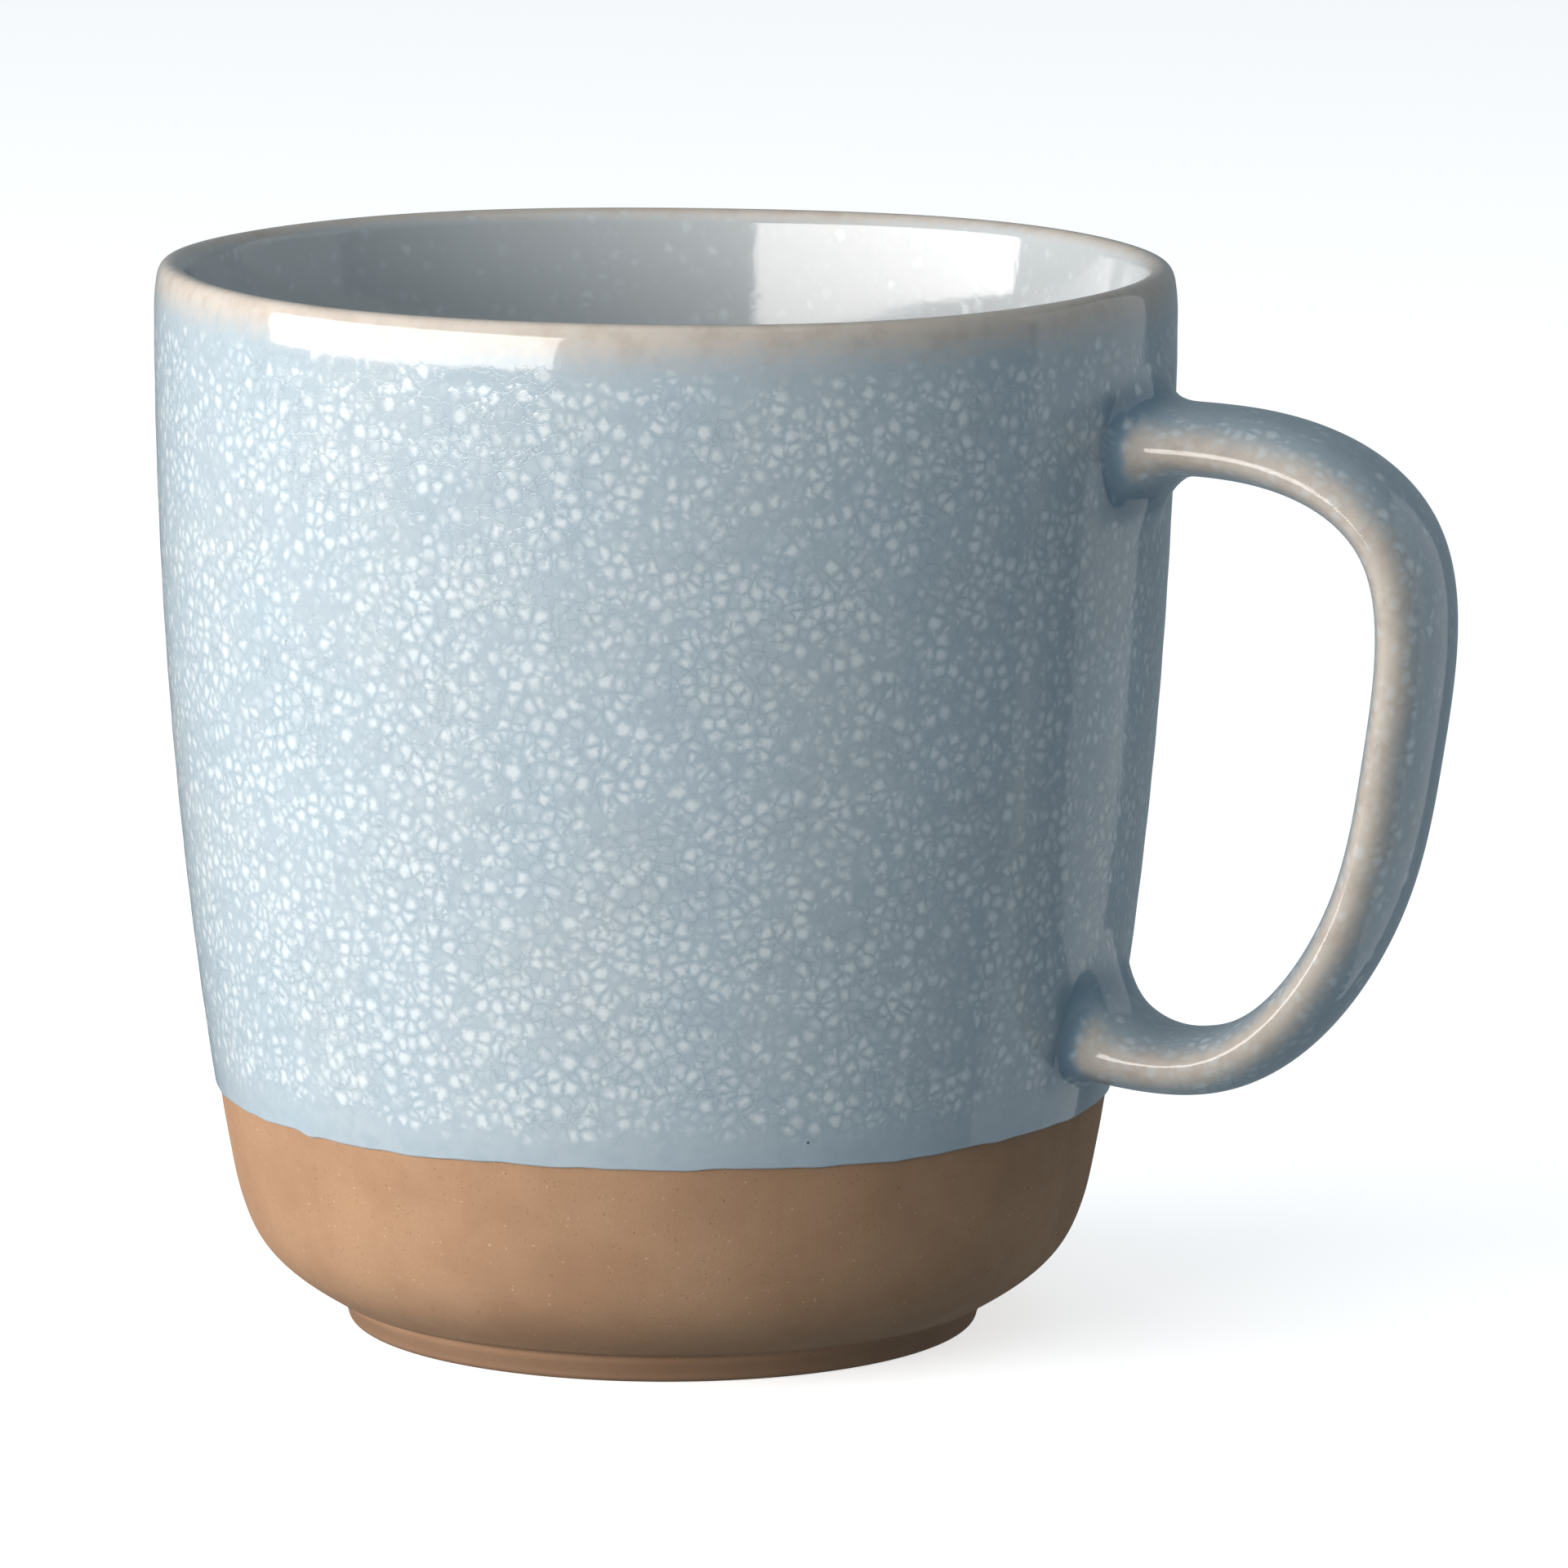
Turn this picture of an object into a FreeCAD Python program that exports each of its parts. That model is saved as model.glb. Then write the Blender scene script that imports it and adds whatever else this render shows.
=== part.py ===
import FreeCAD, Part
import math
import os

# A wheel-thrown stoneware mug, dip glazed down to a bare clay foot, with a pulled strap handle.
# Origin: centre of the foot ring's base plane. +Z is up and the handle points along +X.
# All sizes are millimetres.

# ---- Driving dimensions -------------------------------------------------------------------
RIM_RADIUS = 47.4          # glazed wall at the rim, the widest part of the cup
GLAZE = 0.35               # thickness of the fired glaze coat
LIP_RADIUS = 1.55          # the rim is a full round of this radius, glaze included
LIP_CENTRE_Z = 98.25       # height of that round's centre
DIP_LINE_Z = 22.5          # the outer glaze stops here and bare clay begins
DIP_BEAD = 0.5             # height of the rounded lower edge of the outer glaze

OUTER_ARC = 456.0          # radius of the shallow arc that the outside wall follows
OUTER_VERTICAL_Z = 92.0    # height where that arc stands upright
INNER_EASE_Z = 84.0        # above this the inside wall opens out to the lip, which thins it
INNER_EASE_RADIUS = 42.3   # glazed inside radius there
INNER_LEAN = 3.4           # degrees that the inside wall leans out below that
INNER_END_Z = 24.0         # below this the inside wall turns into the floor
MOUTH_LEAN = 9.5           # degrees that the inside leans out where the lip's round begins
FLOOR_Z = 7.0              # top of the glazed floor
FLOOR_FLAT_RADIUS = 20.0   # the floor is flat inside this radius
FLOOR_CURVE_REACH = 13.0   # how far the tangents of the floor's curve reach

FOOT_RADIUS = 30.2         # outside of the foot ring where it joins the bowl
FOOT_BASE_RADIUS = 29.7    # the ring narrows slightly to its base
FOOT_HEIGHT = 2.7          # from the base to the underside of the bowl
FOOT_EDGE = 0.7            # rounding of the ring's two bottom edges
FOOT_INNER_RADIUS = 25.2   # inside of the ring
UNDERSIDE_Z = 1.9          # the turned recess inside the ring
UNDERSIDE_CURVE = 1.2      # radius where the ring meets the recess

BELLY_START = (31.4, 2.9)  # radius and height where the bowl leaves the foot ring
BELLY_LOW_POLE = (39.4, 7.5)
BELLY_HIGH_POLE = (39.6, 9.6)

# Handle centreline in the XZ plane: poles of one smooth curve, from inside the wall high up,
# round the grip, to inside the wall just above the dip line.
HANDLE_POLES = [(40.0, 86.3), (45.0, 85.2), (58.5, 86.8), (74.6, 78.9), (71.4, 56.9),
                (69.1, 42.3), (56.6, 25.4), (43.4, 29.8), (38.0, 30.1)]
HANDLE_WIDTH_TOP = 17.0    # the strap's width at its upper root
HANDLE_WIDTH_LOW = 15.0    # and at its lower root
HANDLE_OUTER = 3.65        # from the side ridges to the outer face
HANDLE_INNER_TOP = 2.9     # from the side ridges to the finger side, at the top
HANDLE_INNER_LOW = 2.1     # and at the bottom
HANDLE_SECTIONS = 16       # sections that the handle is lofted through
SECTION_POINTS = 20        # points that each closed section passes through

# The clay at each root flares into the wall: (reach along the handle, growth at the wall)
UPPER_FLARE_OUTER = (4.0, 1.9)
UPPER_FLARE_INNER = (6.0, 3.2)
LOWER_FLARE_OUTER = (2.0, 0.3)
LOWER_FLARE_INNER = (8.0, 4.4)
FLARE_SIDE = (3.0, 0.7)
FLARE_POWER = 2.6          # how sharply each flare's growth rises towards the wall
SLIP_START = 0.12          # the luting slip stands this proud of the handle where it begins
SLIP_REACH = 5.0           # how far the slip runs out along the handle
ROOT_DEPTH = 2.5           # the handle's raw end lies this deep inside the wall before it is cut
FLARE_STEPS = 6            # sections in each flare


# ---- The thrown outline -------------------------------------------------------------------
def point(radius, height):
    return FreeCAD.Vector(radius, 0, height)


def outer_radius(height, coat):
    """Outside wall: coat is GLAZE on the glaze's surface and 0 on the clay's."""
    below = max(0.0, OUTER_VERTICAL_Z - height)
    return RIM_RADIUS - GLAZE + coat - OUTER_ARC + math.sqrt(OUTER_ARC ** 2 - below ** 2)


def leaning(degrees, length):
    """A step down the inside wall, leaning in by this many degrees from upright."""
    angle = math.radians(degrees)
    return FreeCAD.Vector(-math.sin(angle), 0, -math.cos(angle)) * length


def three_point_arc(start, middle, end):
    return Part.Arc(start, middle, end).toShape()


def line(start, end):
    return Part.LineSegment(start, end).toShape()


def bezier(*poles):
    curve = Part.BezierCurve()
    curve.setPoles(list(poles))
    return curve.toShape()


def lip_point(angle, coat):
    radius = LIP_RADIUS - GLAZE + coat
    across = RIM_RADIUS - LIP_RADIUS + radius * math.cos(angle)
    return point(across, LIP_CENTRE_Z + radius * math.sin(angle))


def outside_edges(start_z, coat):
    """Edges from the wall at start_z up to the crest of the lip."""
    low = point(outer_radius(start_z, coat), start_z)
    middle_z = (start_z + OUTER_VERTICAL_Z) / 2
    middle = point(outer_radius(middle_z, coat), middle_z)
    upright = point(outer_radius(OUTER_VERTICAL_Z, coat), OUTER_VERTICAL_Z)
    return [
        three_point_arc(low, middle, upright),
        line(upright, lip_point(0, coat)),
        three_point_arc(lip_point(0, coat), lip_point(math.pi / 4, coat), lip_point(math.pi / 2, coat)),
    ]


def inside_edges(coat):
    """Edges from the crest of the lip down the inside wall and across the floor to the axis."""
    floor_z = FLOOR_Z - GLAZE + coat
    mouth = lip_point(math.pi - math.radians(MOUTH_LEAN), coat)
    over_lip = lip_point((math.pi * 1.5 - math.radians(MOUTH_LEAN)) / 2, coat)
    ease = point(INNER_EASE_RADIUS + GLAZE - coat, INNER_EASE_Z)
    reach = (LIP_CENTRE_Z - INNER_EASE_Z) / 3
    drop = INNER_EASE_Z - INNER_END_Z
    wall_end = ease + leaning(INNER_LEAN, drop / math.cos(math.radians(INNER_LEAN)))
    floor_flat = point(FLOOR_FLAT_RADIUS, floor_z)
    return [
        three_point_arc(lip_point(math.pi / 2, coat), over_lip, mouth),
        bezier(mouth, mouth + leaning(MOUTH_LEAN, reach), ease - leaning(INNER_LEAN, reach), ease),
        line(ease, wall_end),
        bezier(wall_end, wall_end + leaning(INNER_LEAN, FLOOR_CURVE_REACH),
               floor_flat + point(FLOOR_CURVE_REACH, 0), floor_flat),
        line(floor_flat, point(0, floor_z)),
    ]


def foot_edges():
    """Edges from the axis across the turned underside, round the foot ring and up the belly."""
    turn = math.sqrt(0.5)
    recess_end = point(FOOT_INNER_RADIUS - UNDERSIDE_CURVE, UNDERSIDE_Z)
    ring_inside = point(FOOT_INNER_RADIUS, UNDERSIDE_Z - UNDERSIDE_CURVE)
    inset = UNDERSIDE_CURVE * (1 - turn)
    corner = point(FOOT_INNER_RADIUS - inset, UNDERSIDE_Z - inset)
    inner_base = point(FOOT_INNER_RADIUS + FOOT_EDGE, 0)
    inner_edge = point(FOOT_INNER_RADIUS + FOOT_EDGE * (1 - turn), FOOT_EDGE * (1 - turn))
    outer_base = point(FOOT_BASE_RADIUS - FOOT_EDGE, 0)
    outer_edge = point(FOOT_BASE_RADIUS - FOOT_EDGE * (1 - turn), FOOT_EDGE * (1 - turn))
    ring_outside = point(FOOT_BASE_RADIUS, FOOT_EDGE)
    ring_top = point(FOOT_RADIUS, FOOT_HEIGHT - FOOT_EDGE)
    belly = point(*BELLY_START)
    dip = point(outer_radius(DIP_LINE_Z, 0), DIP_LINE_Z)
    return [
        line(point(0, UNDERSIDE_Z), recess_end),
        three_point_arc(recess_end, corner, ring_inside),
        three_point_arc(ring_inside, inner_edge, inner_base),
        line(inner_base, outer_base),
        three_point_arc(outer_base, outer_edge, ring_outside),
        line(ring_outside, ring_top),
        bezier(ring_top, point(FOOT_RADIUS, BELLY_START[1]), belly),
        bezier(belly, point(*BELLY_LOW_POLE), point(*BELLY_HIGH_POLE), dip),
    ]


def turned(edges):
    """Spins a closed outline round the mug's axis."""
    wire = Part.Wire(Part.__sortEdges__(edges))
    return Part.Face(wire).revolve(FreeCAD.Vector(0, 0, 0), FreeCAD.Vector(0, 0, 1), 360)


def make_clay_cup():
    axis = line(point(0, FLOOR_Z - GLAZE), point(0, UNDERSIDE_Z))
    return turned(foot_edges() + outside_edges(DIP_LINE_Z, 0) + inside_edges(0) + [axis])


def crest_step():
    return line(lip_point(math.pi / 2, 0), lip_point(math.pi / 2, GLAZE))


def make_outer_shell():
    """Glaze on the outside, from the rounded dip line up to the crest of the lip."""
    bead_top_z = DIP_LINE_Z + DIP_BEAD
    bead_top = point(outer_radius(bead_top_z, GLAZE), bead_top_z)
    foot = point(outer_radius(DIP_LINE_Z, 0), DIP_LINE_Z)
    bead = bezier(foot, point(outer_radius(DIP_LINE_Z, GLAZE), DIP_LINE_Z), bead_top)
    return turned(outside_edges(DIP_LINE_Z, 0) + [crest_step()] + outside_edges(bead_top_z, GLAZE) + [bead])


def make_liner():
    """Glaze on the inside, from the crest of the lip down over the floor."""
    centre = line(point(0, FLOOR_Z - GLAZE), point(0, FLOOR_Z))
    return turned(inside_edges(0) + [centre] + inside_edges(GLAZE) + [crest_step()])


# ---- The handle ---------------------------------------------------------------------------
def handle_curve():
    curve = Part.BSplineCurve()
    knots = len(HANDLE_POLES) - 2
    curve.buildFromPolesMultsKnots(
        [point(*pole) for pole in HANDLE_POLES],
        [4] + [1] * (knots - 2) + [4],
        [k / (knots - 1) for k in range(knots)],
        False, 3)
    return curve


def wall_distance(place):
    """How far a point of the centreline stands off the glazed wall."""
    return place.x - outer_radius(place.z, GLAZE)


def flare_growth(flare, distance):
    """Growth of a flare at a distance from the wall: full at the wall, nothing at its reach."""
    reach, growth = flare
    return growth * max(0.0, 1 - distance / reach) ** FLARE_POWER


def section(curve, at, flared, skin):
    """One closed section of the handle, shrunk by skin: an ellipse with a fuller outer half."""
    place = curve.value(at)
    tangent = curve.tangent(at)[0]
    outward = FreeCAD.Vector(-tangent.z, 0, tangent.x).normalize()
    width = HANDLE_WIDTH_TOP + (HANDLE_WIDTH_LOW - HANDLE_WIDTH_TOP) * at
    inner = HANDLE_INNER_TOP + (HANDLE_INNER_LOW - HANDLE_INNER_TOP) * at
    distance = wall_distance(place)
    outer_flare = UPPER_FLARE_OUTER if at < 0.5 else LOWER_FLARE_OUTER
    inner_flare = UPPER_FLARE_INNER if at < 0.5 else LOWER_FLARE_INNER
    half = width / 2 - skin + flared * flare_growth(FLARE_SIDE, distance)
    up = HANDLE_OUTER - skin + flared * flare_growth(outer_flare, distance)
    down = inner - skin + flared * flare_growth(inner_flare, distance)
    points = []
    for k in range(SECTION_POINTS):
        angle = 2 * math.pi * k / SECTION_POINTS
        rise = up if math.sin(angle) > 0 else down
        across = FreeCAD.Vector(0, half * math.cos(angle), 0)
        points.append(place + across + outward * (rise * math.sin(angle)))
    closed = Part.BSplineCurve()
    closed.interpolate(Points=points, PeriodicFlag=True)
    return Part.Wire([closed.toShape()])


def parameter_at(curve, distance, upper):
    """The curve's parameter where it stands this far off the wall, near the upper or lower root."""
    inside, outside = (0.0, 0.45) if upper else (1.0, 0.55)
    for _ in range(40):
        middle = (inside + outside) / 2
        if wall_distance(curve.value(middle)) < distance:
            inside = middle
        else:
            outside = middle
    return (inside + outside) / 2


def make_handle(curve, flared, skin):
    """The whole strap from inside the wall to inside the wall."""
    span = max(UPPER_FLARE_INNER[0], LOWER_FLARE_INNER[0]) + ROOT_DEPTH
    steps = [span * k / FLARE_STEPS - ROOT_DEPTH for k in range(FLARE_STEPS + 1)]
    upper = [parameter_at(curve, step, True) for step in steps]
    lower = [parameter_at(curve, step, False) for step in reversed(steps)]
    grip = lower[0] - upper[-1]
    middle = [upper[-1] + grip * k / HANDLE_SECTIONS for k in range(1, HANDLE_SECTIONS)]
    wires = [section(curve, at, flared, skin) for at in upper + middle + lower]
    return Part.makeLoft(wires, True, False)


def make_slip(curve, flared_clay, upper):
    """The stretch of the flared clay that is luting slip, at the upper or the lower root."""
    root = curve.value(parameter_at(curve, 0, upper))
    half = RIM_RADIUS / 2
    corner = FreeCAD.Vector(root.x + SLIP_REACH - 2 * half, -half, root.z - half)
    return flared_clay.common(Part.makeBox(2 * half, 2 * half, 2 * half, corner))


def solid_of(shape):
    """The largest solid of a boolean's result."""
    return max(shape.Solids, key=lambda solid: solid.Volume)


def main():
    cup = make_clay_cup()
    outer_shell = make_outer_shell()
    liner = make_liner()
    curve = handle_curve()
    core = make_handle(curve, 0, GLAZE + SLIP_START)
    flared_clay = make_handle(curve, 1, GLAZE)
    coated = make_handle(curve, 1, 0)
    upper_slip = make_slip(curve, flared_clay, True)
    lower_slip = make_slip(curve, flared_clay, False)

    parts = {
        "cup_body": cup,
        "handle_core": solid_of(core.cut(cup)),
        "upper_slip_joint": solid_of(upper_slip.cut([core, cup])),
        "lower_slip_joint": solid_of(lower_slip.cut([core, cup])),
        "outer_glaze": solid_of(outer_shell.cut(coated)),
        "liner_glaze": liner,
        "handle_glaze": solid_of(coated.cut([core, upper_slip, lower_slip, cup])),
    }
    os.makedirs("parts", exist_ok=True)
    for name, shape in parts.items():
        box = shape.BoundBox
        print(f"{name}: valid {shape.isValid()}, solids {len(shape.Solids)}, "
              f"volume {shape.Volume / 1000:.2f} cm3, z {box.ZMin:.2f} to {box.ZMax:.2f}")
        shape.exportStep(f"parts/{name}.step")


main()
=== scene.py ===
import math

import bpy
import numpy as np
from mathutils import Matrix, Vector


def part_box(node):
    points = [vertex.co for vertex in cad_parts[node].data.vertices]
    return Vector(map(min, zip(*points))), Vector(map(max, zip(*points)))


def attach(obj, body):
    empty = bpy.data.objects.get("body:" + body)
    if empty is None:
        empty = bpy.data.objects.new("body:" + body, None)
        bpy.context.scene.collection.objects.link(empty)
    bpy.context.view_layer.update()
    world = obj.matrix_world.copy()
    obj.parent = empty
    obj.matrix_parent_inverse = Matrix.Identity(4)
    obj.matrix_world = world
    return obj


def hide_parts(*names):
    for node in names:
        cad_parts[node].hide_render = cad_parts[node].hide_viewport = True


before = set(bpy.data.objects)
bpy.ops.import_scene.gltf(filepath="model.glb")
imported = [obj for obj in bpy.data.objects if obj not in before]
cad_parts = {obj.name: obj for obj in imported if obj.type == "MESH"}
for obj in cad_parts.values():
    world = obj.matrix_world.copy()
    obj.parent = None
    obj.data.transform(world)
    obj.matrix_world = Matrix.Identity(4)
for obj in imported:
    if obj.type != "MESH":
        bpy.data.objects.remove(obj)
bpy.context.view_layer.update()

# Everything below is worked out in millimetres and scaled once, when a mesh is made.
MM = 0.001

# ---- Sizes read from the frame ------------------------------------------------------------
COAT_LOW, COAT_HIGH = (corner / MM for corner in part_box("outer_glaze"))
CLAY_TOP_Z = (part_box("cup_body")[1] / MM).z
LINER_BASE_Z = (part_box("liner_glaze")[0] / MM).z
TOP_Z = COAT_HIGH.z                    # crest of the glazed lip
DIP_Z = COAT_LOW.z                     # lower edge of the outer glaze
RIM_R = max(COAT_HIGH.y, -COAT_LOW.y)  # glazed wall at its widest
GLAZE = TOP_Z - CLAY_TOP_Z             # thickness of the glaze coat
FLOOR_Z = LINER_BASE_Z + GLAZE         # glazed floor of the cup
SKIN = 0.9 * GLAZE                     # the glaze pieces' own thickness, a hair off the clay

# ---- The thrown outline: the CAD cup's, with the shoulder eased in ------------------------
LIP_R = 1.55
LIP_Z = TOP_Z - LIP_R
OUTER_ARC, UPRIGHT_Z = 456.0, 92.0
EASE_Z, EASE_R = 84.0, 42.3            # where the inside wall opens out to the lip
INNER_LEAN, MOUTH_LEAN = 3.4, 9.5      # degrees from upright
INNER_END_Z = 24.0
FLOOR_FLAT_R, FLOOR_REACH = 20.0, 13.0
FOOT_R, FOOT_BASE_R, FOOT_H, FOOT_EDGE = 30.2, 29.7, 2.7, 0.7
FOOT_INNER_R, UNDERSIDE_Z, UNDERSIDE_CURVE = 25.2, 1.9, 1.2
BELLY_START, BELLY_LOW, BELLY_HIGH = (31.4, 2.9), (39.4, 7.5), (39.6, 9.6)
SHOULDER_Z, SHOULDER_IN = 95.0, 0.24   # the wall eases inwards by this much on its way to the lip

# ---- The handle ---------------------------------------------------------------------------
HANDLE_POLES = [(40.0, 86.3), (45.0, 85.2), (58.5, 86.8), (74.6, 78.9), (71.4, 56.9),
                (69.1, 42.3), (56.6, 25.4), (43.4, 29.8), (38.0, 30.1)]
WIDTH_TOP, WIDTH_LOW = 17.0, 15.0
HANDLE_OUTER, HANDLE_INNER_TOP, HANDLE_INNER_LOW = 3.65, 2.9, 2.1
# flares at each root: (reach along the handle, growth at the wall, radius of the last turn onto the wall)
UPPER_OUTER, UPPER_INNER = (4.0, 1.9, 1.7), (6.0, 5.4, 1.5)
LOWER_OUTER, LOWER_INNER = (2.0, 0.3, 0.5), (9.0, 5.8, 3.4)
FLARE_SIDE = (4.2, 1.15, 1.0)
FLARE_POWER = 2.6
ROOT_REACH = 9.0                       # rings follow the wall's curve inside this distance
ROOT_TURN = 2.4                        # rings crowd together inside this one
GRIP_OFF = 99.0                        # stands for "far from the wall"
# glaze pools round each root: (height of the pool, its reach above, its reach below)
ROOT_POOLS = [(85.4, 8.0, 9.0), (29.6, 9.5, 3.0)]
POOL_HALF_WIDTH, POOL_SPREAD, POOL_STRENGTH = 9.0, 2.3, 0.85

# ---- Mesh columns: points round the cup, the glaze coat and the handle ----------------------
CUP_COLUMNS, COAT_COLUMNS, HANDLE_COLUMNS = 240, 420, 96

# ---- The camera: a long lens, slightly above the mug, turned towards the handle ------------
VIEW_AZIMUTH, VIEW_PITCH, VIEW_ROLL = math.radians(20.0), math.radians(9.8), math.radians(0.3)
VIEW_DISTANCE, AIM_Z, AIM_RIGHT, AIM_UP, LENS = 950.0, 50.0, 11.2, 0.66, 232.8


def smooth(low, high, value):
    share = np.clip((np.asarray(value, float) - low) / (high - low), 0, 1)
    return share * share * (3 - 2 * share)


def bezier(poles, count):
    """Points along a cubic curve, from its first pole to its last."""
    t = np.linspace(0, 1, count)[:, None]
    a, b, c, d = (np.array(pole, float) for pole in poles)
    return (1 - t) ** 3 * a + 3 * t * (1 - t) ** 2 * b + 3 * t * t * (1 - t) * c + t ** 3 * d


def arc(centre, radius, start, end, count):
    angle = np.radians(np.linspace(start, end, count))
    return np.column_stack([centre[0] + radius * np.cos(angle), centre[1] + radius * np.sin(angle)])


def wall_r(z):
    """Radius of the glazed outside wall."""
    z = np.asarray(z, float)
    below = np.maximum(0, UPRIGHT_Z - z)
    ease = SHOULDER_IN * np.clip((z - SHOULDER_Z) / (LIP_Z - SHOULDER_Z), 0, 1.5) ** 2
    return RIM_R - OUTER_ARC + np.sqrt(OUTER_ARC ** 2 - below ** 2) - ease


def outside_line(start_z, skin):
    """The outside from start_z to the crest of the lip, with skin taken off it."""
    z = np.linspace(start_z, LIP_Z, 112)
    wall = np.column_stack([wall_r(z) - skin, z])
    lip = LIP_R - skin
    side, turn = wall[-1], 0.55 * lip
    lean = 2 * SHOULDER_IN / (LIP_Z - SHOULDER_Z)
    crest = (RIM_R - LIP_R, LIP_Z + lip)
    over = bezier([side, side + (-lean * turn, turn), (crest[0] + turn, crest[1]), crest], 22)
    return np.vstack([wall[:-1], over])


def lean_step(degrees, length):
    angle = math.radians(degrees)
    return np.array([-math.sin(angle), -math.cos(angle)]) * length


def inside_line(skin):
    """The inside from the crest of the lip down to the middle of the floor."""
    floor_z = FLOOR_Z - skin
    over = arc((RIM_R - LIP_R, LIP_Z), LIP_R - skin, 90, 180 - MOUTH_LEAN, 22)
    mouth = over[-1]
    ease = np.array([EASE_R + skin, EASE_Z])
    reach = (LIP_Z - EASE_Z) / 3
    drop = EASE_Z - INNER_END_Z
    end = ease + lean_step(INNER_LEAN, drop / math.cos(math.radians(INNER_LEAN)))
    opening = bezier([mouth, mouth + lean_step(MOUTH_LEAN, reach),
                      ease - lean_step(INNER_LEAN, reach), ease], 20)
    straight = np.linspace(ease, end, 50)
    flat = np.array([FLOOR_FLAT_R, floor_z])
    corner = bezier([end, end + lean_step(INNER_LEAN, FLOOR_REACH), flat + (FLOOR_REACH, 0), flat], 44)
    floor = np.column_stack([FLOOR_FLAT_R * (1 - np.linspace(0, 1, 22)) + 0.02, np.full(22, floor_z)])
    return np.vstack([over[:-1], opening[:-1], straight[:-1], corner[:-1], floor])


def foot_line():
    """From the middle of the turned underside, round the foot ring and up the belly to the dip line."""
    curve_r, edge = FOOT_INNER_R - UNDERSIDE_CURVE, FOOT_EDGE
    recess = np.column_stack([np.linspace(0.02, curve_r, 16), np.full(16, UNDERSIDE_Z)])
    turn = arc((curve_r, UNDERSIDE_Z - UNDERSIDE_CURVE), UNDERSIDE_CURVE, 90, 0, 8)
    inner = arc((FOOT_INNER_R + edge, edge), edge, 180, 270, 8)
    outer = arc((FOOT_BASE_R - edge, edge), edge, 270, 360, 10)
    side_top = (FOOT_R, FOOT_H - edge)
    side = np.linspace(outer[-1], side_top, 5)
    cove = bezier([side_top, (FOOT_R, FOOT_H), (FOOT_R + 0.3, BELLY_START[1] - 0.1), BELLY_START], 10)
    dip = (float(wall_r(DIP_Z)) - GLAZE, DIP_Z)
    belly = bezier([BELLY_START, BELLY_LOW, BELLY_HIGH, dip], 44)
    rings = [recess[:-1], turn[:-1], inner, outer[:-1], side[:-1], cove[:-1], belly]
    return np.vstack(rings)


# ---- How a hand-thrown cup departs from a true turned one ---------------------------------
def thrown(angle, r, z):
    """Turns outline points into places round the mug: slightly out of round, with a wavering rim."""
    high = smooth(60, 99, z)
    rise = high * (0.14 * np.sin(2 * angle + 0.6) + 0.07 * np.sin(5 * angle + 2.0))
    swell = 0.05 + 0.09 * high
    round_off = swell * np.sin(2 * angle + 1.1) + 0.035 * np.sin(3 * angle - 0.4)
    ridges = 0.012 * np.sin(z * 1.05 + 0.8 * np.sin(angle)) * smooth(4, 12, z)
    wide = np.clip(r / 30.0, 0, 1)
    across = r + (round_off * high + ridges) * wide
    lift = rise * smooth(20, 40, r)
    return np.stack([across * np.cos(angle), across * np.sin(angle), z + lift], -1)


def dip_waver(angle):
    """How far the glaze's lower edge wanders, with one small run where it dripped."""
    run = np.exp(-(((angle + math.radians(120) + math.pi) % (2 * math.pi) - math.pi) / 0.028) ** 2)
    slow = 0.10 * np.sin(2 * angle + 0.3) + 0.12 * np.sin(5 * angle + 1.9) + 0.07 * np.sin(11 * angle)
    fine = 0.05 * np.sin(23 * angle + 0.7) + 0.035 * np.sin(41 * angle + 2.2) + 0.02 * np.sin(67 * angle)
    return slow + fine - 0.22 * run


# ---- Mesh helpers -------------------------------------------------------------------------
def grid_normals(grid):
    """Smooth normals of a grid of points whose columns go right round."""
    along = np.gradient(grid, axis=0)
    round_ = np.roll(grid, -1, 1) - np.roll(grid, 1, 1)
    normal = np.cross(round_, along)
    length = np.linalg.norm(normal, axis=2, keepdims=True)
    return normal / np.maximum(length, 1e-12)


def shell_piece(name, outer, normals, masks, material):
    """A closed shell: the outer grid, and an inner skin that lies under it by SKIN."""
    rows, cols, _ = outer.shape
    keep = np.unique(np.r_[np.arange(0, rows, 3), rows - 1])
    inner = outer[keep] - normals[keep] * SKIN
    inner_rows = len(keep)
    verts = np.vstack([outer.reshape(-1, 3), inner.reshape(-1, 3)])
    start = rows * cols
    col = np.arange(cols)
    step = (col + 1) % cols

    def strip(a, b):
        return np.column_stack([a + col, a + step, b + step, b + col])

    faces = [strip(r * cols, (r + 1) * cols) for r in range(rows - 1)]
    faces += [strip(start + (r + 1) * cols, start + r * cols) for r in range(inner_rows - 1)]
    faces.append(strip(start, 0))
    faces.append(strip((rows - 1) * cols, start + (inner_rows - 1) * cols))
    mesh = bpy.data.meshes.new(name)
    mesh.from_pydata((verts * MM).tolist(), [], np.vstack(faces).tolist())
    mesh.validate()
    corner_normals = np.vstack([normals.reshape(-1, 3), -normals[keep].reshape(-1, 3)])
    mesh.shade_smooth()
    mesh.normals_split_custom_set_from_vertices(corner_normals.tolist())
    for mask_name, values in masks.items():
        layer = mesh.attributes.new(mask_name, "FLOAT", "POINT")
        full = np.concatenate([values.reshape(-1), values[keep].reshape(-1)])
        layer.data.foreach_set("value", full.astype(np.float32))
    mesh.materials.append(material)
    piece = bpy.data.objects.new(name, mesh)
    bpy.context.scene.collection.objects.link(piece)
    return piece


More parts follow.
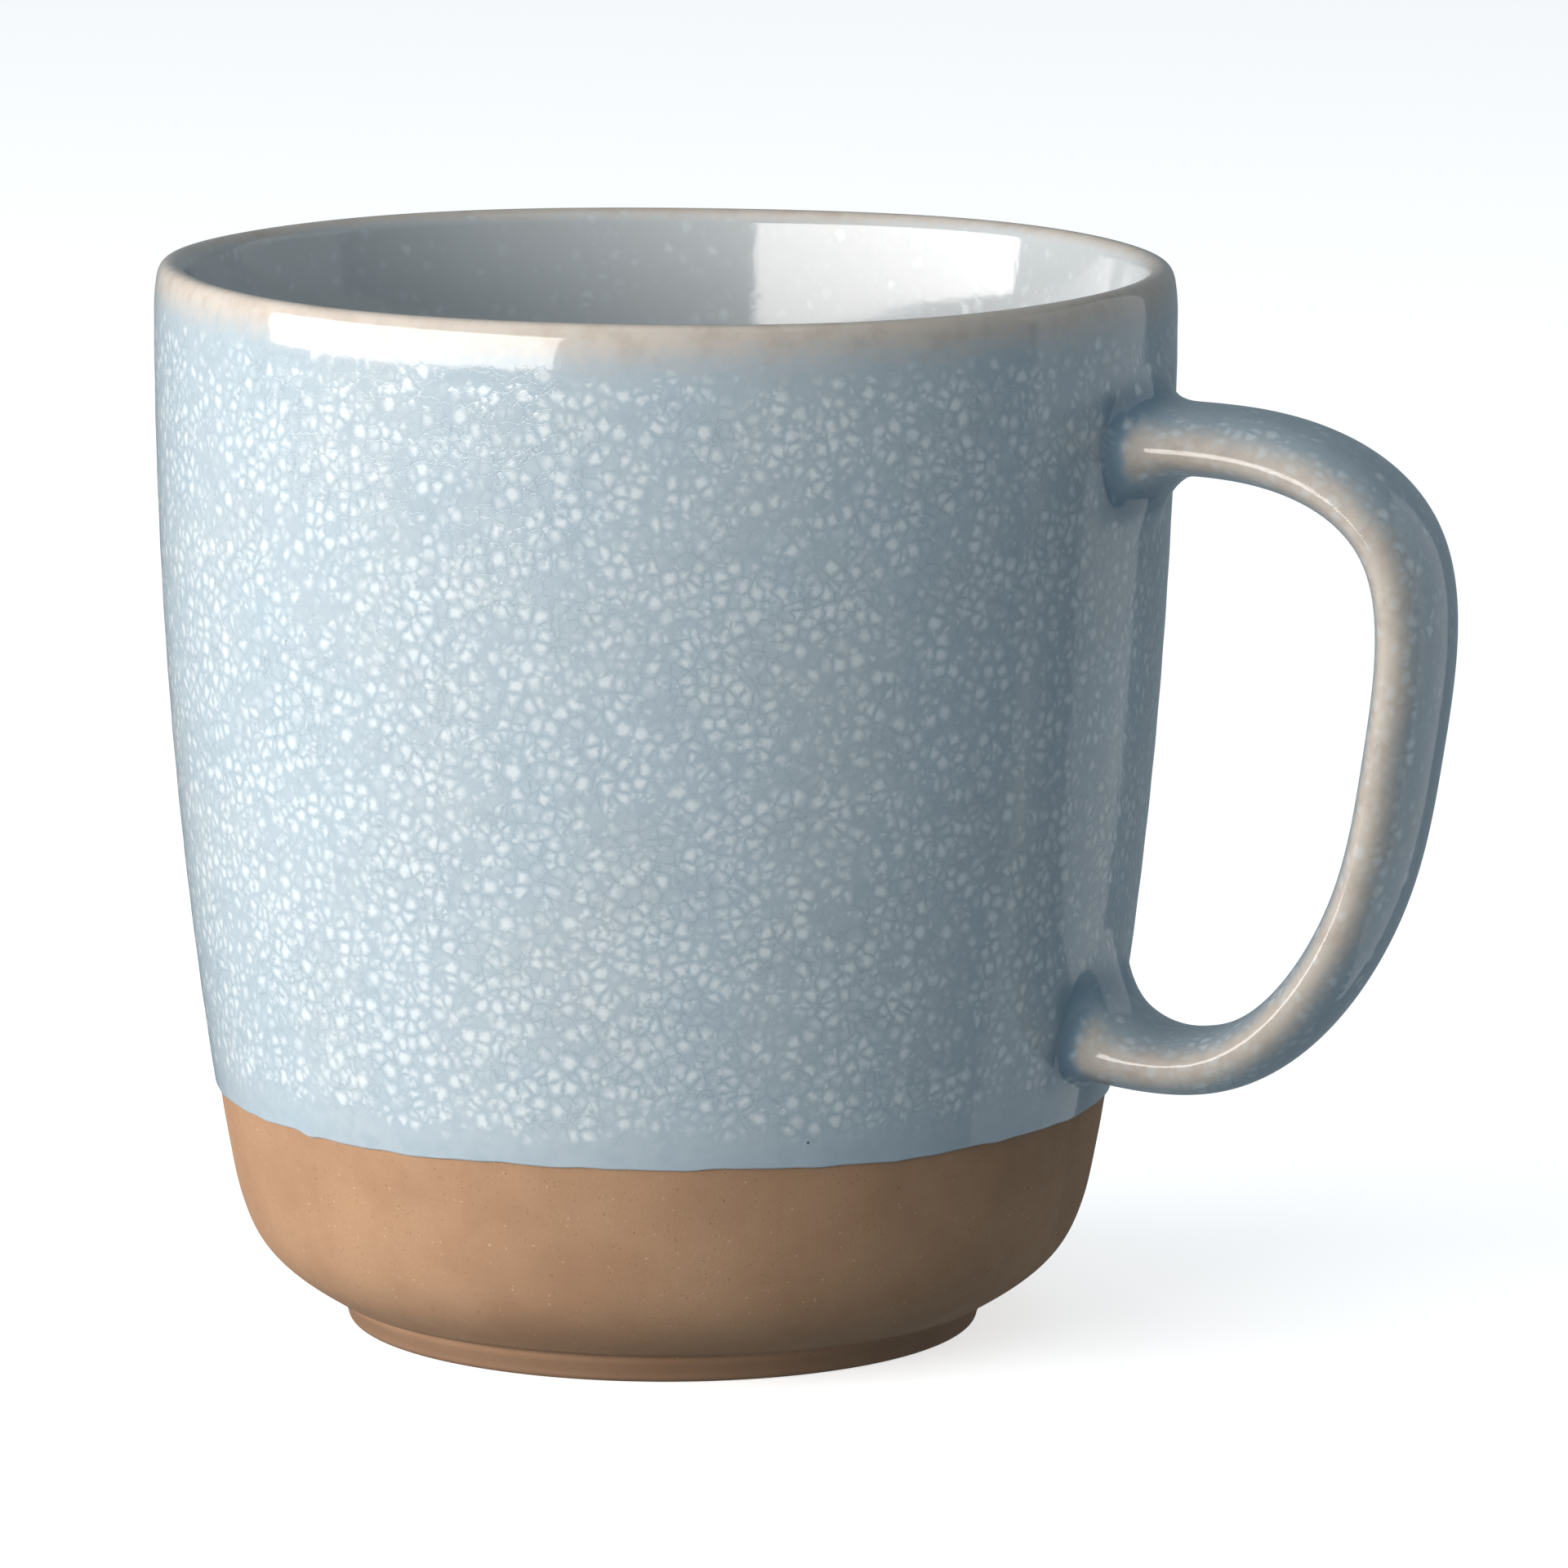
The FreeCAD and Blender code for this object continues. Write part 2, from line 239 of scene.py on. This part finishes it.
def turned_piece(name, outline, material):
    """A closed solid turned from an outline whose two ends lie on the axis."""
    angle = np.linspace(-math.pi, math.pi, CUP_COLUMNS, endpoint=False)[None, :]
    r, z = outline[:, :1], outline[:, 1:]
    grid = thrown(angle, r + 0 * angle, z + 0 * angle)
    rows, cols, _ = grid.shape
    poles = np.array([[0, 0, outline[0, 1]], [0, 0, outline[-1, 1]]])
    verts = np.vstack([grid.reshape(-1, 3), poles])
    col = np.arange(cols)
    step = (col + 1) % cols
    starts = np.arange(rows - 1)[:, None] * cols
    corners = [starts + col, starts + step, starts + cols + step, starts + cols + col]
    quads = np.stack(corners, -1).reshape(-1, 4)
    last = (rows - 1) * cols
    fans = [(rows * cols, int(b), int(a)) for a, b in zip(col, step)]
    fans += [(rows * cols + 1, last + int(a), last + int(b)) for a, b in zip(col, step)]
    mesh = bpy.data.meshes.new(name)
    mesh.from_pydata((verts * MM).tolist(), [], quads.tolist() + fans)
    mesh.validate()
    mesh.shade_smooth()
    mesh.materials.append(material)
    piece = bpy.data.objects.new(name, mesh)
    bpy.context.scene.collection.objects.link(piece)
    return piece


# ---- Node helpers -------------------------------------------------------------------------
class Nodes:
    """Builds one material's nodes. Every method returns the new node's output socket."""

    def __init__(self, name):
        self.material = bpy.data.materials.new(name)
        self.material.use_nodes = True
        self.tree = self.material.node_tree
        self.shader = self.tree.nodes["Principled BSDF"]
        coordinates = self.tree.nodes.new("ShaderNodeTexCoord").outputs["Object"]
        self.place = self.vector("SCALE", coordinates, scale=1 / MM)   # in millimetres

    def link(self, value, socket):
        if isinstance(value, bpy.types.NodeSocket):
            self.tree.links.new(value, socket)
        elif value is not None:
            socket.default_value = value

    def vector(self, operation, a, b=None, scale=None):
        node = self.tree.nodes.new("ShaderNodeVectorMath")
        node.operation = operation
        self.link(a, node.inputs[0])
        self.link(b, node.inputs[1])
        if scale is not None:
            node.inputs["Scale"].default_value = scale
        return node.outputs[0]

    def math(self, operation, a, b=None):
        node = self.tree.nodes.new("ShaderNodeMath")
        node.operation = operation
        self.link(a, node.inputs[0])
        self.link(b, node.inputs[1])
        return node.outputs[0]

    def noise(self, size, detail=2.0, rough=0.5, colour=False, place=None):
        node = self.tree.nodes.new("ShaderNodeTexNoise")
        node.inputs["Scale"].default_value = 1 / size
        node.inputs["Detail"].default_value = detail
        node.inputs["Roughness"].default_value = rough
        self.link(place or self.place, node.inputs["Vector"])
        return node.outputs["Color" if colour else "Fac"]

    def cells(self, size, place, feature="F1", output="Distance"):
        node = self.tree.nodes.new("ShaderNodeTexVoronoi")
        node.feature = feature
        node.inputs["Scale"].default_value = 1 / size
        self.link(place, node.inputs["Vector"])
        return node.outputs[output]

    def ramp(self, value, low, high, out_low=0.0, out_high=1.0):
        node = self.tree.nodes.new("ShaderNodeMapRange")
        node.interpolation_type = "SMOOTHSTEP"
        sockets = ("From Min", "From Max", "To Min", "To Max")
        for socket, number in zip(sockets, (low, high, out_low, out_high)):
            self.link(number, node.inputs[socket])
        self.link(value, node.inputs["Value"])
        return node.outputs[0]

    def mix(self, share, a, b):
        node = self.tree.nodes.new("ShaderNodeMix")
        node.data_type = "RGBA"
        self.link(share, node.inputs[0])
        for colour, socket in ((a, node.inputs[6]), (b, node.inputs[7])):
            self.link(colour if isinstance(colour, bpy.types.NodeSocket) else (*colour, 1.0), socket)
        return node.outputs[2]

    def mask(self, name):
        node = self.tree.nodes.new("ShaderNodeAttribute")
        node.attribute_name = name
        return node.outputs["Fac"]

    def red(self, colour):
        node = self.tree.nodes.new("ShaderNodeSeparateColor")
        self.link(colour, node.inputs[0])
        return node.outputs[0]

    def bump(self, height, distance, strength):
        node = self.tree.nodes.new("ShaderNodeBump")
        node.inputs["Distance"].default_value = distance * MM
        node.inputs["Strength"].default_value = strength
        self.link(height, node.inputs["Height"])
        return node.outputs[0]

    def warped(self, size, amount):
        """The place, pushed about by a noise, so that cells come out irregular."""
        noise = self.noise(size, 2.0, 0.5, colour=True)
        centred = self.vector("SUBTRACT", noise, (0.5, 0.5, 0.5))
        return self.vector("ADD", self.place, self.vector("SCALE", centred, scale=amount))


# ---- Materials ----------------------------------------------------------------------------
# Linear colours
PALE_BLUE = (0.385, 0.468, 0.525)
DEEP_BLUE = (0.345, 0.425, 0.480)
GREY_BLUE = (0.410, 0.472, 0.515)
CRYSTAL = (0.665, 0.725, 0.750)
CRACKLE = (0.230, 0.290, 0.330)
POOL_BLUE = (0.160, 0.260, 0.345)
# grey for the inside glaze, also lightened: painted light standing in for light that reaches inside the cup
LINER_GREY_PAINTED_LIGHT = (0.600, 0.605, 0.600)
TAN = (0.580, 0.505, 0.430)
DARK_TAN = (0.360, 0.265, 0.190)
PINHOLE = (0.055, 0.050, 0.048)
LARGE_CRYSTAL, SMALL_CRYSTAL = 1.40, 0.80   # cell sizes in millimetres
SPECK_CELL = 5.2


def crystals(n, size, place, density):
    """The cells' edge distance, and white crystals: soft blobs, in more cells where density is higher."""
    edge = n.cells(size, place, feature="DISTANCE_TO_EDGE")
    chance = n.red(n.cells(size, place, output="Color"))
    present = n.ramp(n.math("SUBTRACT", density, chance), 0.0, 0.75)
    middle = n.ramp(n.cells(size, place), 0.18, 0.74, 1.0, 0.0)
    rounded = n.math("MULTIPLY", n.ramp(edge, 0.0, 0.33), middle)
    return edge, n.math("MULTIPLY", rounded, present)


def make_glaze(name, liner_grey_and_painted_light=0.0):
    """Reactive glaze: pale blue-grey with white crystals and crackle, breaking tan where it runs thin."""
    n = Nodes(name)
    spots, brown, pool = n.mask("spots"), n.mask("brown"), n.mask("pool")
    place = n.warped(0.50, 0.50)
    patches = n.noise(2.2, 2.0, 0.5)
    broad = n.math("MULTIPLY", n.noise(6.5, 3.0, 0.6), 0.65)
    clusters = n.math("ADD", broad, n.math("MULTIPLY", patches, 0.35))
    density = n.math("MULTIPLY", n.ramp(clusters, 0.34, 0.62, 0.75, 1.45), spots)
    edge, large = crystals(n, LARGE_CRYSTAL, place, density)
    elsewhere = n.vector("ADD", place, (37.0, 26.0, 48.0))
    _, small = crystals(n, SMALL_CRYSTAL, elsewhere, n.math("MULTIPLY", density, 0.70))
    both = n.math("MAXIMUM", large, n.math("MULTIPLY", small, 0.70))

    # the glaze between the crystals, mottled, with fine crackle round them
    here = n.math("MULTIPLY", n.ramp(n.noise(9.0, 2.0, 0.5), 0.36, 0.62, 0.25, 1.0), spots)
    crackle = n.math("MULTIPLY", n.ramp(edge, 0.0, 0.045, 1.0, 0.0), here)
    ground = n.mix(n.ramp(n.noise(14.0, 4.0, 0.55), 0.32, 0.70), PALE_BLUE, GREY_BLUE)
    ground = n.mix(n.math("MULTIPLY", n.ramp(n.noise(1.6, 3.0, 0.6), 0.42, 0.68), 0.50), ground, DEEP_BLUE)
    ground = n.mix(n.math("MULTIPLY", crackle, 0.40), ground, CRACKLE)
    # the inside glaze turns greyer and lighter; the extra lightness is painted light inside the cup
    ground = n.mix(liner_grey_and_painted_light, ground, LINER_GREY_PAINTED_LIGHT)
    uneven = n.math("MULTIPLY", n.math("SUBTRACT", patches, 0.5), 0.35)
    pooled = n.ramp(n.math("ADD", pool, uneven), 0.12, 0.95)
    ground = n.mix(n.math("MULTIPLY", pooled, 0.86), ground, POOL_BLUE)

    # thin glaze breaks tan on the lip and along the handle's ridges, ragged where it meets the blue
    ragged = n.math("MULTIPLY", n.math("SUBTRACT", n.noise(1.3, 4.0, 0.65), 0.5), 0.50)
    broken = n.math("ADD", brown, n.math("MULTIPLY", ragged, n.ramp(brown, 0.0, 0.35)))
    tan = n.mix(n.math("MULTIPLY", n.ramp(n.noise(2.4, 3.0, 0.6), 0.40, 0.72), 0.35), TAN, DARK_TAN)
    tan = n.mix(n.ramp(broken, 1.10, 1.45), tan, DARK_TAN)
    colour = n.mix(n.ramp(broken, 0.12, 0.95, 0.0, 0.88), ground, tan)
    colour = n.mix(n.math("MULTIPLY", both, n.ramp(broken, 0.2, 0.9, 0.78, 0.32)), colour, CRYSTAL)

    # a few dark iron specks
    speck = n.cells(SPECK_CELL, n.place)
    chance = n.red(n.cells(SPECK_CELL, n.place, output="Color"))
    speck = n.math("MULTIPLY", n.ramp(speck, 0.022, 0.036, 1.0, 0.0), n.ramp(chance, 0.10, 0.13, 1.0, 0.0))
    colour = n.mix(n.math("MULTIPLY", speck, 0.8), colour, PINHOLE)

    n.link(colour, n.shader.inputs["Base Color"])
    n.link(n.ramp(both, 0.0, 1.0, 0.075, 0.16), n.shader.inputs["Roughness"])
    n.shader.inputs["IOR"].default_value = 1.50
    relief = n.math("ADD", n.math("MULTIPLY", both, 0.5), n.math("MULTIPLY", n.noise(3.5, 2.0, 0.5), 1.0))
    relief = n.math("SUBTRACT", relief, n.math("MULTIPLY", crackle, 0.25))
    n.link(n.bump(relief, 0.035, 0.55 - 0.5 * liner_grey_and_painted_light), n.shader.inputs["Normal"])
    return n.material


CLAY_LIGHT = (0.410, 0.248, 0.148)
CLAY_DARK = (0.345, 0.200, 0.117)
# dark clay for the foot ring: painted shade standing in for the contact shadow where the mug meets the
# floor
CLAY_FOOT_PAINTED_SHADE = (0.165, 0.095, 0.057)
GROG_LIGHT = (0.560, 0.420, 0.300)
GROG_DARK = (0.160, 0.095, 0.060)


def make_clay(name):
    """Bare stoneware: matte warm brown with fine grog, faint turning lines and scattered specks, and
    painted shade darkening the foot ring.
    """
    n = Nodes(name)
    colour = n.mix(n.ramp(n.noise(11.0, 4.0, 0.6), 0.30, 0.72), CLAY_LIGHT, CLAY_DARK)
    colour = n.mix(n.math("MULTIPLY", n.ramp(n.noise(0.35, 3.0, 0.7), 0.40, 0.66), 0.30), colour, CLAY_DARK)
    speck_place = n.warped(0.5, 0.25)
    for size, limit, share, tone in ((0.85, 0.16, 0.30, GROG_LIGHT), (1.30, 0.12, 0.16, GROG_DARK),
                                     (0.45, 0.22, 0.25, GROG_DARK)):
        distance = n.cells(size, speck_place)
        chance = n.red(n.cells(size, speck_place, output="Color"))
        dot = n.math("MULTIPLY", n.ramp(distance, limit * 0.55, limit, 1.0, 0.0),
                     n.ramp(chance, share, share + 0.05, 1.0, 0.0))
        colour = n.mix(n.math("MULTIPLY", dot, 0.55), colour, tone)
    separate = n.tree.nodes.new("ShaderNodeSeparateXYZ")
    n.link(n.place, separate.inputs[0])
    height = separate.outputs["Z"]
    # the clay darkens towards the foot: painted shade for the contact shadow where the mug stands on the
    # floor
    colour = n.mix(n.ramp(height, 1.6, 3.4, 0.70, 0.0), colour, CLAY_FOOT_PAINTED_SHADE)
    n.link(colour, n.shader.inputs["Base Color"])
    n.link(n.ramp(n.noise(2.0, 2.0, 0.5), 0.3, 0.7, 0.78, 0.92), n.shader.inputs["Roughness"])
    n.shader.inputs["IOR"].default_value = 1.45
    n.shader.inputs["Specular IOR Level"].default_value = 0.30
    stretched = n.vector("MULTIPLY", n.place, (0.12, 0.12, 2.6))
    lines = n.noise(1.0, 3.0, 0.6, place=stretched)
    grain = n.noise(0.22, 3.0, 0.65)
    relief = n.math("ADD", n.math("MULTIPLY", lines, 0.6), n.math("MULTIPLY", grain, 0.8))
    n.link(n.bump(relief, 0.05, 0.5), n.shader.inputs["Normal"])
    return n.material


# ---- Pieces -------------------------------------------------------------------------------
def handle_curve(t):
    """Places on the handle's centreline: a uniform cubic curve clamped at both ends."""
    poles = np.array(HANDLE_POLES)
    spans = len(poles) - 3
    knots = np.r_[[0.0] * 4, np.arange(1, spans) / spans, [1.0] * 4]
    t = np.clip(np.asarray(t, float), 0, 1 - 1e-9)
    basis = [((knots[k] <= t) & (t < knots[k + 1])).astype(float) for k in range(len(knots) - 1)]
    for degree in range(1, 4):
        raised = []
        for k in range(len(basis) - 1):
            left, right = knots[k + degree] - knots[k], knots[k + degree + 1] - knots[k + 1]
            value = 0 * t
            if left > 0:
                value = value + (t - knots[k]) / left * basis[k]
            if right > 0:
                value = value + (knots[k + degree + 1] - t) / right * basis[k + 1]
            raised.append(value)
        basis = raised
    return sum(b[:, None] * pole for b, pole in zip(basis, poles))


def flare(kind, distance):
    """Growth of a root's flare, which ends by turning onto the wall."""
    reach, growth, radius = kind
    swell = growth * np.clip(1 - distance / reach, 0, 1) ** FLARE_POWER
    turn = np.clip(1 - distance / radius, 0, 1)
    return swell + radius * (1 - np.sqrt(1 - turn ** 2))


def handle_rings():
    """Where the handle's rings lie along its curve, and how far off the wall each one is."""
    turn = ROOT_TURN * (1 - np.sin(np.linspace(math.pi / 2, 0.15, 16)))
    out = np.linspace(turn[-1], ROOT_REACH, 18)[1:]
    root = np.r_[turn, out]
    fine = np.linspace(0, 1, 4001)
    line = handle_curve(fine)
    stand_off = line[:, 0] - wall_r(line[:, 1])
    upper = fine < 0.5
    upper_t = np.interp(root, stand_off[upper], fine[upper])
    lower_t = np.interp(root, stand_off[~upper][::-1], fine[~upper][::-1])
    grip = np.linspace(upper_t[-1], lower_t[-1], 110)[1:-1]
    return np.r_[upper_t, grip, lower_t[::-1]], np.r_[root, np.full(len(grip), GRIP_OFF), root[::-1]]


def handle_grid():
    """The handle's glazed surface, its end rings lying on the wall, with the masks for its glaze."""
    t, off = handle_rings()
    centre = handle_curve(t)
    step = 1e-4
    tangent = handle_curve(np.minimum(t + step, 1)) - handle_curve(np.maximum(t - step, 0))
    tangent /= np.linalg.norm(tangent, axis=1, keepdims=True)
    outward = np.column_stack([-tangent[:, 1], tangent[:, 0]])
    angle = np.linspace(0, 2 * math.pi, HANDLE_COLUMNS, endpoint=False)
    width = (WIDTH_TOP + (WIDTH_LOW - WIDTH_TOP) * t) / 2
    inner = HANDLE_INNER_TOP + (HANDLE_INNER_LOW - HANDLE_INNER_TOP) * t
    upper = t < 0.5
    grow_out = np.where(upper, flare(UPPER_OUTER, off), flare(LOWER_OUTER, off))
    grow_in = np.where(upper, flare(UPPER_INNER, off), flare(LOWER_INNER, off))
    half = width + flare(FLARE_SIDE, off)
    cos, sin = np.cos(angle)[None], np.sin(angle)[None]
    rise = np.where(sin > 0, (HANDLE_OUTER + grow_out)[:, None], (inner + grow_in)[:, None]) * sin
    y = half[:, None] * cos
    x = centre[:, :1] + outward[:, :1] * rise
    z = centre[:, 1:] + outward[:, 1:] * rise
    follow = 1 - smooth(0.5, ROOT_REACH - 1, off)[:, None]
    for _ in range(3):
        around = np.arctan2(y, np.maximum(x, 20))
        surface = thrown(around, wall_r(z), z)
        wall_x = np.sqrt(np.maximum(surface[..., 0] ** 2 + surface[..., 1] ** 2 - y ** 2, 1))
        x = x + follow * (wall_x + np.minimum(off, 50)[:, None] - x)
    grid = np.stack([x, y, z], -1)
    sharp = np.abs(cos) ** 3.6 + 0 * rise
    near = np.exp(-(off / 1.6))[:, None]
    wander = 0.06 * np.sin(t * 60)[:, None] + 0.04 * np.sin(t * 143 + 1)[:, None]
    brown = sharp * (0.98 + wander) + 0.45 * np.abs(cos) ** 10 * near
    brown = brown * smooth(0.3, 2.2, off)[:, None]
    side = np.abs(cos)
    pool = np.exp(-(off / 4.2))[:, None] * (1 - side ** 3) * np.where(sin > 0, 0.95, 0.85)
    pool = np.maximum(pool, 0.30 * (1 - side ** 2))
    spots = 0.45 + 0.35 * smooth(0.35, 0.85, side) + 0 * rise
    # where the handle meets the wall, its glaze looks like the wall's
    share = smooth(0, 3.0, off)[:, None]
    wall_pool = root_pool(grid)
    pool = share * pool + (1 - share) * wall_pool
    spots = share * spots + (1 - share) * root_spots(wall_pool)
    return grid, {"brown": brown, "pool": pool, "spots": spots}


def root_pool(points):
    """How strongly the glaze pools on the wall round the two handle roots."""
    total = 0
    for z, up, down in ROOT_POOLS:
        beyond_y = np.maximum(np.abs(points[..., 1]) - POOL_HALF_WIDTH, 0)
        rise = points[..., 2] - z
        beyond_z = np.where(rise > 0, np.maximum(rise - up * 0.55, 0), np.maximum(-rise - down * 0.55, 0))
        distance = np.sqrt(beyond_y ** 2 + beyond_z ** 2)
        total = total + POOL_STRENGTH * np.exp(-(distance / POOL_SPREAD) ** 2) * (points[..., 0] > 0)
    return total


def root_spots(pool):
    """Crystals are fewer where the glaze pools."""
    return 1 - 0.8 * np.clip(pool, 0, 1)


def coat_grid():
    """The cup's glaze from the dip line over the lip to the floor, its masks, and the lip's row."""
    outside, inside = outside_line(DIP_Z + 0.30, 0.0), inside_line(0.0)
    bead_foot = (float(wall_r(DIP_Z)) - GLAZE + 0.03, DIP_Z)
    bead = bezier([bead_foot, (bead_foot[0] + GLAZE * 0.95, DIP_Z + 0.02),
                   (outside[0, 0] - 0.015, DIP_Z + 0.12), outside[0]], 7)
    outline = np.vstack([bead[:-1], outside, inside[1:]])
    split = len(bead) - 1 + len(outside) - 1
    angle = np.linspace(-math.pi, math.pi, COAT_COLUMNS, endpoint=False)[None, :]
    r, z = outline[:, :1] + 0 * angle, outline[:, 1:] + 0 * angle
    outer = (np.arange(len(outline)) <= split)[:, None]
    near_dip = np.where(outer, 1 - smooth(DIP_Z + 0.5, DIP_Z + 9, z), 0)
    z = z + dip_waver(angle) * near_dip
    r = np.where(outer & (near_dip > 0), r + wall_r(z) - wall_r(outline[:, 1:] + 0 * angle), r)
    grid = thrown(angle, r, z)
    along = np.r_[0, np.cumsum(np.linalg.norm(np.diff(outline, axis=0), axis=1))]
    from_crest = (along - along[split])[:, None] + 0 * angle
    waver = 0.25 * np.sin(4 * angle + 1) + 0.18 * np.sin(9 * angle) + 0.12 * np.sin(19 * angle + 2)
    spread = np.where(from_crest < 0, 4.2, 1.7) + waver * 0.6
    brown = 0.98 * np.exp(-(np.abs(from_crest) / spread) ** 2)
    below = np.where(outer, TOP_Z - z, 0)
    spots = np.where(outer, smooth(1.5, 7, below) * smooth(DIP_Z + 0.8, DIP_Z + 5, z), 0.42)
    spots = np.where(outer, spots * root_spots(root_pool(grid)), spots)
    pool = np.where(outer, 0.28 * (1 - smooth(DIP_Z + 0.8, DIP_Z + 3.6, z)) + root_pool(grid), 0)
    return grid, {"brown": brown, "pool": pool, "spots": spots}, split


def part_of(grid, normals, masks, rows):
    return grid[rows], normals[rows], {name: values[rows] for name, values in masks.items()}


def finish_piece(piece, slot, *nodes):
    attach(piece, "root")
    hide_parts(*nodes)


def build_cup():
    clay = make_clay("stoneware")
    outline = np.vstack([foot_line()[:-1], outside_line(DIP_Z, GLAZE), inside_line(GLAZE)[1:]])
    cup = turned_piece("clay_cup", outline, clay)
    finish_piece(cup, "bare_stoneware", "cup_body")

    grid, masks, split = coat_grid()
    normals = grid_normals(grid)
    outside = part_of(grid, normals, masks, slice(0, split + 1))
    inside = part_of(grid, normals, masks, slice(split, None))
    coat = shell_piece("glaze_outside", *outside, make_glaze("reactive_glaze"))
    # the inside glaze gets the greyer, lightened ground: painted light inside the cup
    liner = shell_piece("glaze_inside", *inside, make_glaze("liner_glaze", liner_grey_and_painted_light=0.6))
    finish_piece(coat, "outer_glaze", "outer_glaze")
    finish_piece(liner, "liner_glaze", "liner_glaze")
    return clay


def build_handle(clay):
    grid, masks = handle_grid()
    coat = shell_piece("glaze_handle", grid, grid_normals(grid), masks, make_glaze("handle_glaze"))
    finish_piece(coat, "handle_glaze", "handle_glaze")
    for node in ("handle_core", "upper_slip_joint", "lower_slip_joint"):
        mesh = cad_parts[node].data
        mesh.materials.clear()
        mesh.materials.append(clay)


# ---- Stage, light and camera --------------------------------------------------------------
FLOOR_HALF, PAPER_GLOW = 8.0, 0.67     # metres from the middle to the edge; emission strength
SKY_COLOUR, SKY_LEVEL = (0.82, 1.0, 1.12), 0.225
WINDOW_COLOUR = (1, 0.955, 0.915)


def view_axes():
    """The camera's right, up and back directions before its roll."""
    sin_a, cos_a = math.sin(VIEW_AZIMUTH), math.cos(VIEW_AZIMUTH)
    sin_p, cos_p = math.sin(VIEW_PITCH), math.cos(VIEW_PITCH)
    right = Vector((cos_a, sin_a, 0))
    back = Vector((sin_a * cos_p, -cos_a * cos_p, sin_p))
    return right, back.cross(right), back


def add_camera():
    right, up, back = view_axes()
    aim = Vector((0, 0, AIM_Z)) + right * AIM_RIGHT + up * AIM_UP
    rolled_up = up * math.cos(VIEW_ROLL) - right * math.sin(VIEW_ROLL)
    rolled_right = right * math.cos(VIEW_ROLL) + up * math.sin(VIEW_ROLL)
    data = bpy.data.cameras.new("camera")
    data.lens = LENS
    data.sensor_width = 36.0
    data.clip_start, data.clip_end = 0.01, 50.0
    camera = bpy.data.objects.new("camera", data)
    turn = Matrix((rolled_right, rolled_up, back)).transposed().to_4x4()
    camera.matrix_world = Matrix.Translation((aim + back * VIEW_DISTANCE) * MM) @ turn
    bpy.context.scene.collection.objects.link(camera)
    bpy.context.scene.camera = camera


def add_softbox(name, side, lift, distance, width, height, power, colour=(1, 1, 1)):
    """A rectangular light facing the mug: side is degrees right of the camera, lift above level."""
    heading = VIEW_AZIMUTH - math.pi / 2 + math.radians(side)
    level = math.cos(math.radians(lift))
    away = Vector((math.cos(heading) * level, math.sin(heading) * level, math.sin(math.radians(lift))))
    data = bpy.data.lights.new(name, "AREA")
    data.shape = "RECTANGLE"
    data.size, data.size_y = width, height
    data.energy = power
    data.color = colour
    light = bpy.data.objects.new(name, data)
    light.matrix_world = (Matrix.Translation(away * distance + Vector((0, 0, TOP_Z * MM)))
                          @ away.to_track_quat("Z", "Y").to_matrix().to_4x4())
    bpy.context.scene.collection.objects.link(light)


def add_floor():
    mesh = bpy.data.meshes.new("floor")
    corners = [(x * FLOOR_HALF, y * FLOOR_HALF, 0) for x, y in ((-1, -1), (1, -1), (1, 1), (-1, 1))]
    mesh.from_pydata(corners, [], [(0, 1, 2, 3)])
    material = bpy.data.materials.new("floor_paper")
    material.use_nodes = True
    shader = material.node_tree.nodes["Principled BSDF"]
    shader.inputs["Base Color"].default_value = (0.86, 0.86, 0.86, 1)
    shader.inputs["Roughness"].default_value = 0.9
    shader.inputs["Emission Color"].default_value = (1, 1, 1, 1)
    shader.inputs["Emission Strength"].default_value = PAPER_GLOW
    mesh.materials.append(material)
    floor = bpy.data.objects.new("floor", mesh)
    # the paper shows white without throwing light up at the mug or shining in its glaze
    floor.visible_diffuse = False
    floor.visible_glossy = False
    bpy.context.scene.collection.objects.link(floor)


def add_world(colour, level):
    world = bpy.data.worlds.new("studio")
    world.use_nodes = True
    background = world.node_tree.nodes["Background"]
    background.inputs["Color"].default_value = (*colour, 1)
    background.inputs["Strength"].default_value = level
    bpy.context.scene.world = world


add_camera()
build_handle(build_cup())
add_floor()
add_world(SKY_COLOUR, SKY_LEVEL)
add_softbox("window", side=-60, lift=9, distance=1.1, width=1.66, height=0.55, power=26.0,
            colour=WINDOW_COLOUR)
add_softbox("fill", side=112, lift=-4, distance=1.2, width=1.0, height=1.7, power=2.6)
add_softbox("overhead", side=0, lift=80, distance=1.1, width=1.0, height=1.0, power=1.6)
bpy.context.scene.view_settings.view_transform = "Standard"
